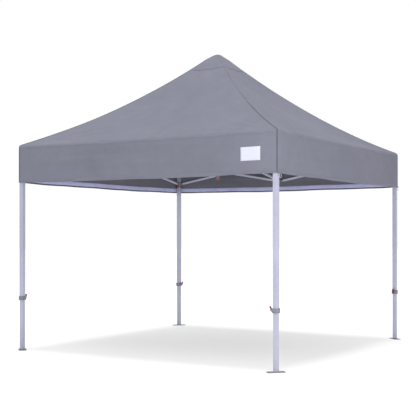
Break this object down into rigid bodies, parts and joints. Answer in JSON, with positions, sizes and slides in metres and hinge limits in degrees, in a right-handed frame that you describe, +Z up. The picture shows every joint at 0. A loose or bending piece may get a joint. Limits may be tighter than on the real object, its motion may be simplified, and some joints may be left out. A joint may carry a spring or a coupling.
{
  "type": "pop-up canopy tent",
  "caption": "Square pop-up canopy tent on telescoping square legs, with a folding scissor truss, a spring peak pole and a sagging pyramid fabric top with a deep valance.",
  "frame": {"origin": "centre of the footprint, on the ground under the four foot plates", "axes": "+Z up, -Y towards the front (the side with the plain patch on the valance), +X to the right-hand side seen from the front"},
  "size_m": [3.1186, 3.1186, 3.17],
  "materials": {
    "leg_paint": "satin powder coat, pale lavender grey",
    "bar_paint": "satin powder coat, pale grey",
    "bracket_plastic": "moulded nylon, mid grey",
    "red_plastic": "moulded, dark red, semi-gloss",
    "canopy_fabric": "coated polyester weave, mid grey outside, darker grey lining inside"
  },
  "bodies": {
    "upper_hub_and_canopy": {"center_hub_upper": "bracket_plastic", "canopy": "canopy_fabric"},
    "inner_bar_right_falling": {"inner_bar_right_falling": "bar_paint"},
    "inner_bar_right_rising": {"inner_bar_right_rising": "bar_paint"},
    "side_bracket_right_lower": {"side_bracket_right_lower": "bracket_plastic"},
    "side_bracket_right_upper": {"side_bracket_right_upper": "bracket_plastic"},
    "lower_hub": {"center_hub_lower": "bracket_plastic"},
    "peak_pole": {"peak_pole": "bar_paint"},
    "edge_bar_right_a_rising": {"edge_bar_right_a_rising": "bar_paint"},
    "edge_bar_right_a_falling": {"edge_bar_right_a_falling": "bar_paint"},
    "upper_leg_rear_right": {"upper_leg_rear_right": "leg_paint", "leg_collar_rear_right": "bracket_plastic"},
    "slider_rear_right": {"slider_rear_right": "bracket_plastic"},
    "edge_bar_right_b_rising": {"edge_bar_right_b_rising": "bar_paint"},
    "edge_bar_right_b_falling": {"edge_bar_right_b_falling": "bar_paint"},
    "inner_bar_rear_falling": {"inner_bar_rear_falling": "bar_paint"},
    "inner_bar_rear_rising": {"inner_bar_rear_rising": "bar_paint"},
    "side_bracket_rear_lower": {"side_bracket_rear_lower": "bracket_plastic"},
    "side_bracket_rear_upper": {"side_bracket_rear_upper": "bracket_plastic"},
    "edge_bar_rear_a_rising": {"edge_bar_rear_a_rising": "bar_paint"},
    "edge_bar_rear_a_falling": {"edge_bar_rear_a_falling": "bar_paint"},
    "upper_leg_rear_left": {"upper_leg_rear_left": "leg_paint", "leg_collar_rear_left": "bracket_plastic"},
    "slider_rear_left": {"slider_rear_left": "bracket_plastic"},
    "edge_bar_rear_b_rising": {"edge_bar_rear_b_rising": "bar_paint"},
    "edge_bar_rear_b_falling": {"edge_bar_rear_b_falling": "bar_paint"},
    "inner_bar_left_falling": {"inner_bar_left_falling": "bar_paint"},
    "inner_bar_left_rising": {"inner_bar_left_rising": "bar_paint"},
    "side_bracket_left_lower": {"side_bracket_left_lower": "bracket_plastic"},
    "side_bracket_left_upper": {"side_bracket_left_upper": "bracket_plastic"},
    "edge_bar_left_a_rising": {"edge_bar_left_a_rising": "bar_paint"},
    "edge_bar_left_a_falling": {"edge_bar_left_a_falling": "bar_paint"},
    "upper_leg_front_left": {"upper_leg_front_left": "leg_paint", "leg_collar_front_left": "bracket_plastic"},
    "slider_front_left": {"slider_front_left": "bracket_plastic"},
    "edge_bar_left_b_rising": {"edge_bar_left_b_rising": "bar_paint"},
    "edge_bar_left_b_falling": {"edge_bar_left_b_falling": "bar_paint"},
    "inner_bar_front_falling": {"inner_bar_front_falling": "bar_paint"},
    "inner_bar_front_rising": {"inner_bar_front_rising": "bar_paint"},
    "side_bracket_front_lower": {"side_bracket_front_lower": "bracket_plastic"},
    "side_bracket_front_upper": {"side_bracket_front_upper": "bracket_plastic"},
    "edge_bar_front_a_rising": {"edge_bar_front_a_rising": "bar_paint"},
    "edge_bar_front_a_falling": {"edge_bar_front_a_falling": "bar_paint"},
    "upper_leg_front_right": {"upper_leg_front_right": "leg_paint", "leg_collar_front_right": "bracket_plastic"},
    "slider_front_right": {"slider_front_right": "bracket_plastic"},
    "edge_bar_front_b_rising": {"edge_bar_front_b_rising": "bar_paint"},
    "edge_bar_front_b_falling": {"edge_bar_front_b_falling": "bar_paint"},
    "lower_leg_front_right": {"lower_leg_front_right": "leg_paint"},
    "collar_lever_front_right": {"collar_lever_front_right": "red_plastic"},
    "release_button_front_right": {"release_button_front_right": "red_plastic"},
    "lower_leg_rear_right": {"lower_leg_rear_right": "leg_paint"},
    "collar_lever_rear_right": {"collar_lever_rear_right": "red_plastic"},
    "release_button_rear_right": {"release_button_rear_right": "red_plastic"},
    "lower_leg_rear_left": {"lower_leg_rear_left": "leg_paint"},
    "collar_lever_rear_left": {"collar_lever_rear_left": "red_plastic"},
    "release_button_rear_left": {"release_button_rear_left": "red_plastic"},
    "lower_leg_front_left": {"lower_leg_front_left": "leg_paint"},
    "collar_lever_front_left": {"collar_lever_front_left": "red_plastic"},
    "release_button_front_left": {"release_button_front_left": "red_plastic"}
  },
  "joints": [
    {"name": "fold", "type": "hinge", "parent": "upper_hub_and_canopy", "child": "inner_bar_right_falling", "pos_m": [0.045, 0, 2.105], "axis": [0, 1, 0], "range_deg": [0, 77.5]},
    {"name": "inner_cross_right", "type": "hinge", "parent": "inner_bar_right_falling", "child": "inner_bar_right_rising", "pos_m": [0.747, 0, 1.9825], "axis": [0, 1, 0], "range_deg": [-155, 0]},
    {"name": "lower_bracket_pivot_right", "type": "hinge", "parent": "inner_bar_right_falling", "child": "side_bracket_right_lower", "pos_m": [1.449, 0, 1.86], "axis": [0, 1, 0], "range_deg": [-77.5, 0]},
    {"name": "upper_bracket_pivot_right", "type": "hinge", "parent": "inner_bar_right_rising", "child": "side_bracket_right_upper", "pos_m": [1.449, 0, 2.105], "axis": [0, 1, 0], "range_deg": [0, 77.5]},
    {"name": "lower_hub_pivot", "type": "hinge", "parent": "inner_bar_right_rising", "child": "lower_hub", "pos_m": [0.045, 0, 1.86], "axis": [0, 1, 0], "range_deg": [0, 77.5]},
    {"name": "peak_pole_slide", "type": "slide", "parent": "lower_hub", "child": "peak_pole", "axis": [0, 0, 1], "range_m": [0, 0.175]},
    {"name": "edge_pivot_right_a", "type": "hinge", "parent": "side_bracket_right_lower", "child": "edge_bar_right_a_rising", "pos_m": [1.484, 0.035, 1.86], "axis": [-1, 0, 0], "range_deg": [-77.5, 0]},
    {"name": "edge_cross_right_a", "type": "hinge", "parent": "edge_bar_right_a_rising", "child": "edge_bar_right_a_falling", "pos_m": [1.484, 0.737, 1.9825], "axis": [-1, 0, 0], "range_deg": [0, 155]},
    {"name": "leg_pivot_rear_right", "type": "hinge", "parent": "edge_bar_right_a_rising", "child": "upper_leg_rear_right", "pos_m": [1.484, 1.439, 2.105], "axis": [-1, 0, 0], "range_deg": [0, 77.5]},
    {"name": "slider_pivot_rear_right", "type": "hinge", "parent": "edge_bar_right_a_falling", "child": "slider_rear_right", "pos_m": [1.484, 1.439, 1.86], "axis": [-1, 0, 0], "range_deg": [-77.5, 0]},
    {"name": "edge_pivot_right_b", "type": "hinge", "parent": "side_bracket_right_lower", "child": "edge_bar_right_b_rising", "pos_m": [1.484, -0.035, 1.86], "axis": [1, 0, 0], "range_deg": [-77.5, 0]},
    {"name": "edge_cross_right_b", "type": "hinge", "parent": "edge_bar_right_b_rising", "child": "edge_bar_right_b_falling", "pos_m": [1.484, -0.737, 1.9825], "axis": [1, 0, 0], "range_deg": [0, 155]},
    {"name": "fold_rear", "type": "hinge", "parent": "upper_hub_and_canopy", "child": "inner_bar_rear_falling", "pos_m": [0, 0.045, 2.105], "axis": [-1, 0, 0], "range_deg": [0, 77.5]},
    {"name": "inner_cross_rear", "type": "hinge", "parent": "inner_bar_rear_falling", "child": "inner_bar_rear_rising", "pos_m": [0, 0.747, 1.9825], "axis": [-1, 0, 0], "range_deg": [-155, 0]},
    {"name": "lower_bracket_pivot_rear", "type": "hinge", "parent": "inner_bar_rear_falling", "child": "side_bracket_rear_lower", "pos_m": [0, 1.449, 1.86], "axis": [-1, 0, 0], "range_deg": [-77.5, 0]},
    {"name": "upper_bracket_pivot_rear", "type": "hinge", "parent": "inner_bar_rear_rising", "child": "side_bracket_rear_upper", "pos_m": [0, 1.449, 2.105], "axis": [-1, 0, 0], "range_deg": [0, 77.5]},
    {"name": "edge_pivot_rear_a", "type": "hinge", "parent": "side_bracket_rear_lower", "child": "edge_bar_rear_a_rising", "pos_m": [-0.035, 1.484, 1.86], "axis": [0, -1, 0], "range_deg": [-77.5, 0]},
    {"name": "edge_cross_rear_a", "type": "hinge", "parent": "edge_bar_rear_a_rising", "child": "edge_bar_rear_a_falling", "pos_m": [-0.737, 1.484, 1.9825], "axis": [0, -1, 0], "range_deg": [0, 155]},
    {"name": "leg_pivot_rear_left", "type": "hinge", "parent": "edge_bar_rear_a_rising", "child": "upper_leg_rear_left", "pos_m": [-1.439, 1.484, 2.105], "axis": [0, -1, 0], "range_deg": [0, 77.5]},
    {"name": "slider_pivot_rear_left", "type": "hinge", "parent": "edge_bar_rear_a_falling", "child": "slider_rear_left", "pos_m": [-1.439, 1.484, 1.86], "axis": [0, -1, 0], "range_deg": [-77.5, 0]},
    {"name": "edge_pivot_rear_b", "type": "hinge", "parent": "side_bracket_rear_lower", "child": "edge_bar_rear_b_rising", "pos_m": [0.035, 1.484, 1.86], "axis": [0, 1, 0], "range_deg": [-77.5, 0]},
    {"name": "edge_cross_rear_b", "type": "hinge", "parent": "edge_bar_rear_b_rising", "child": "edge_bar_rear_b_falling", "pos_m": [0.737, 1.484, 1.9825], "axis": [0, 1, 0], "range_deg": [0, 155]},
    {"name": "fold_left", "type": "hinge", "parent": "upper_hub_and_canopy", "child": "inner_bar_left_falling", "pos_m": [-0.045, 0, 2.105], "axis": [0, -1, 0], "range_deg": [0, 77.5]},
    {"name": "inner_cross_left", "type": "hinge", "parent": "inner_bar_left_falling", "child": "inner_bar_left_rising", "pos_m": [-0.747, 0, 1.9825], "axis": [0, -1, 0], "range_deg": [-155, 0]},
    {"name": "lower_bracket_pivot_left", "type": "hinge", "parent": "inner_bar_left_falling", "child": "side_bracket_left_lower", "pos_m": [-1.449, 0, 1.86], "axis": [0, -1, 0], "range_deg": [-77.5, 0]},
    {"name": "upper_bracket_pivot_left", "type": "hinge", "parent": "inner_bar_left_rising", "child": "side_bracket_left_upper", "pos_m": [-1.449, 0, 2.105], "axis": [0, -1, 0], "range_deg": [0, 77.5]},
    {"name": "edge_pivot_left_a", "type": "hinge", "parent": "side_bracket_left_lower", "child": "edge_bar_left_a_rising", "pos_m": [-1.484, -0.035, 1.86], "axis": [1, 0, 0], "range_deg": [-77.5, 0]},
    {"name": "edge_cross_left_a", "type": "hinge", "parent": "edge_bar_left_a_rising", "child": "edge_bar_left_a_falling", "pos_m": [-1.484, -0.737, 1.9825], "axis": [1, 0, 0], "range_deg": [0, 155]},
    {"name": "leg_pivot_front_left", "type": "hinge", "parent": "edge_bar_left_a_rising", "child": "upper_leg_front_left", "pos_m": [-1.484, -1.439, 2.105], "axis": [1, 0, 0], "range_deg": [0, 77.5]},
    {"name": "slider_pivot_front_left", "type": "hinge", "parent": "edge_bar_left_a_falling", "child": "slider_front_left", "pos_m": [-1.484, -1.439, 1.86], "axis": [1, 0, 0], "range_deg": [-77.5, 0]},
    {"name": "edge_pivot_left_b", "type": "hinge", "parent": "side_bracket_left_lower", "child": "edge_bar_left_b_rising", "pos_m": [-1.484, 0.035, 1.86], "axis": [-1, 0, 0], "range_deg": [-77.5, 0]},
    {"name": "edge_cross_left_b", "type": "hinge", "parent": "edge_bar_left_b_rising", "child": "edge_bar_left_b_falling", "pos_m": [-1.484, 0.737, 1.9825], "axis": [-1, 0, 0], "range_deg": [0, 155]},
    {"name": "fold_front", "type": "hinge", "parent": "upper_hub_and_canopy", "child": "inner_bar_front_falling", "pos_m": [0, -0.045, 2.105], "axis": [1, 0, 0], "range_deg": [0, 77.5]},
    {"name": "inner_cross_front", "type": "hinge", "parent": "inner_bar_front_falling", "child": "inner_bar_front_rising", "pos_m": [0, -0.747, 1.9825], "axis": [1, 0, 0], "range_deg": [-155, 0]},
    {"name": "lower_bracket_pivot_front", "type": "hinge", "parent": "inner_bar_front_falling", "child": "side_bracket_front_lower", "pos_m": [0, -1.449, 1.86], "axis": [1, 0, 0], "range_deg": [-77.5, 0]},
    {"name": "upper_bracket_pivot_front", "type": "hinge", "parent": "inner_bar_front_rising", "child": "side_bracket_front_upper", "pos_m": [0, -1.449, 2.105], "axis": [1, 0, 0], "range_deg": [0, 77.5]},
    {"name": "edge_pivot_front_a", "type": "hinge", "parent": "side_bracket_front_lower", "child": "edge_bar_front_a_rising", "pos_m": [0.035, -1.484, 1.86], "axis": [0, 1, 0], "range_deg": [-77.5, 0]},
    {"name": "edge_cross_front_a", "type": "hinge", "parent": "edge_bar_front_a_rising", "child": "edge_bar_front_a_falling", "pos_m": [0.737, -1.484, 1.9825], "axis": [0, 1, 0], "range_deg": [0, 155]},
    {"name": "leg_pivot_front_right", "type": "hinge", "parent": "edge_bar_front_a_rising", "child": "upper_leg_front_right", "pos_m": [1.439, -1.484, 2.105], "axis": [0, 1, 0], "range_deg": [0, 77.5]},
    {"name": "slider_pivot_front_right", "type": "hinge", "parent": "edge_bar_front_a_falling", "child": "slider_front_right", "pos_m": [1.439, -1.484, 1.86], "axis": [0, 1, 0], "range_deg": [-77.5, 0]},
    {"name": "edge_pivot_front_b", "type": "hinge", "parent": "side_bracket_front_lower", "child": "edge_bar_front_b_rising", "pos_m": [-0.035, -1.484, 1.86], "axis": [0, -1, 0], "range_deg": [-77.5, 0]},
    {"name": "edge_cross_front_b", "type": "hinge", "parent": "edge_bar_front_b_rising", "child": "edge_bar_front_b_falling", "pos_m": [-0.737, -1.484, 1.9825], "axis": [0, -1, 0], "range_deg": [0, 155]},
    {"name": "leg_height_front_right", "type": "slide", "parent": "upper_leg_front_right", "child": "lower_leg_front_right", "axis": [0, 0, -1], "range_m": [-0.5, 0.2]},
    {"name": "collar_lever_front_right", "type": "hinge", "parent": "upper_leg_front_right", "child": "collar_lever_front_right", "pos_m": [1.44, -1.484, 0.541], "axis": [0, -1, 0], "range_deg": [-18, 35], "stiffness_Nm_per_rad": 0.6},
    {"name": "release_button_front_right", "type": "slide", "parent": "slider_front_right", "child": "release_button_front_right", "axis": [0, -1, 0], "range_m": [0, 0.004], "stiffness_N_per_m": 800},
    {"name": "leg_height_rear_right", "type": "slide", "parent": "upper_leg_rear_right", "child": "lower_leg_rear_right", "axis": [0, 0, -1], "range_m": [-0.5, 0.2]},
    {"name": "collar_lever_rear_right", "type": "hinge", "parent": "upper_leg_rear_right", "child": "collar_lever_rear_right", "pos_m": [1.484, 1.44, 0.541], "axis": [1, 0, 0], "range_deg": [-18, 35], "stiffness_Nm_per_rad": 0.6},
    {"name": "release_button_rear_right", "type": "slide", "parent": "slider_rear_right", "child": "release_button_rear_right", "axis": [1, 0, 0], "range_m": [0, 0.004], "stiffness_N_per_m": 800},
    {"name": "leg_height_rear_left", "type": "slide", "parent": "upper_leg_rear_left", "child": "lower_leg_rear_left", "axis": [0, 0, -1], "range_m": [-0.5, 0.2]},
    {"name": "collar_lever_rear_left", "type": "hinge", "parent": "upper_leg_rear_left", "child": "collar_lever_rear_left", "pos_m": [-1.44, 1.484, 0.541], "axis": [0, 1, 0], "range_deg": [-18, 35], "stiffness_Nm_per_rad": 0.6},
    {"name": "release_button_rear_left", "type": "slide", "parent": "slider_rear_left", "child": "release_button_rear_left", "axis": [0, 1, 0], "range_m": [0, 0.004], "stiffness_N_per_m": 800},
    {"name": "leg_height_front_left", "type": "slide", "parent": "upper_leg_front_left", "child": "lower_leg_front_left", "axis": [0, 0, -1], "range_m": [-0.5, 0.2]},
    {"name": "collar_lever_front_left", "type": "hinge", "parent": "upper_leg_front_left", "child": "collar_lever_front_left", "pos_m": [-1.484, -1.44, 0.541], "axis": [-1, 0, 0], "range_deg": [-18, 35], "stiffness_Nm_per_rad": 0.6},
    {"name": "release_button_front_left", "type": "slide", "parent": "slider_front_left", "child": "release_button_front_left", "axis": [-1, 0, 0], "range_m": [0, 0.004], "stiffness_N_per_m": 800}
  ],
  "couplings": [
    {"joint": "inner_cross_right", "follows": "fold", "ratio": -2},
    {"joint": "lower_bracket_pivot_right", "follows": "fold", "ratio": -1},
    {"joint": "upper_bracket_pivot_right", "follows": "fold", "ratio": 1},
    {"joint": "lower_hub_pivot", "follows": "fold", "ratio": 1},
    {"joint": "peak_pole_slide", "follows": "fold", "m_per_rad": 0.12938},
    {"joint": "edge_pivot_right_a", "follows": "fold", "ratio": -1},
    {"joint": "edge_cross_right_a", "follows": "fold", "ratio": 2},
    {"joint": "leg_pivot_rear_right", "follows": "fold", "ratio": 1},
    {"joint": "slider_pivot_rear_right", "follows": "fold", "ratio": -1},
    {"joint": "edge_pivot_right_b", "follows": "fold", "ratio": -1},
    {"joint": "edge_cross_right_b", "follows": "fold", "ratio": 2},
    {"joint": "fold_rear", "follows": "fold", "ratio": 1},
    {"joint": "inner_cross_rear", "follows": "fold", "ratio": -2},
    {"joint": "lower_bracket_pivot_rear", "follows": "fold", "ratio": -1},
    {"joint": "upper_bracket_pivot_rear", "follows": "fold", "ratio": 1},
    {"joint": "edge_pivot_rear_a", "follows": "fold", "ratio": -1},
    {"joint": "edge_cross_rear_a", "follows": "fold", "ratio": 2},
    {"joint": "leg_pivot_rear_left", "follows": "fold", "ratio": 1},
    {"joint": "slider_pivot_rear_left", "follows": "fold", "ratio": -1},
    {"joint": "edge_pivot_rear_b", "follows": "fold", "ratio": -1},
    {"joint": "edge_cross_rear_b", "follows": "fold", "ratio": 2},
    {"joint": "fold_left", "follows": "fold", "ratio": 1},
    {"joint": "inner_cross_left", "follows": "fold", "ratio": -2},
    {"joint": "lower_bracket_pivot_left", "follows": "fold", "ratio": -1},
    {"joint": "upper_bracket_pivot_left", "follows": "fold", "ratio": 1},
    {"joint": "edge_pivot_left_a", "follows": "fold", "ratio": -1},
    {"joint": "edge_cross_left_a", "follows": "fold", "ratio": 2},
    {"joint": "leg_pivot_front_left", "follows": "fold", "ratio": 1},
    {"joint": "slider_pivot_front_left", "follows": "fold", "ratio": -1},
    {"joint": "edge_pivot_left_b", "follows": "fold", "ratio": -1},
    {"joint": "edge_cross_left_b", "follows": "fold", "ratio": 2},
    {"joint": "fold_front", "follows": "fold", "ratio": 1},
    {"joint": "inner_cross_front", "follows": "fold", "ratio": -2},
    {"joint": "lower_bracket_pivot_front", "follows": "fold", "ratio": -1},
    {"joint": "upper_bracket_pivot_front", "follows": "fold", "ratio": 1},
    {"joint": "edge_pivot_front_a", "follows": "fold", "ratio": -1},
    {"joint": "edge_cross_front_a", "follows": "fold", "ratio": 2},
    {"joint": "leg_pivot_front_right", "follows": "fold", "ratio": 1},
    {"joint": "slider_pivot_front_right", "follows": "fold", "ratio": -1},
    {"joint": "edge_pivot_front_b", "follows": "fold", "ratio": -1},
    {"joint": "edge_cross_front_b", "follows": "fold", "ratio": 2}
  ]
}
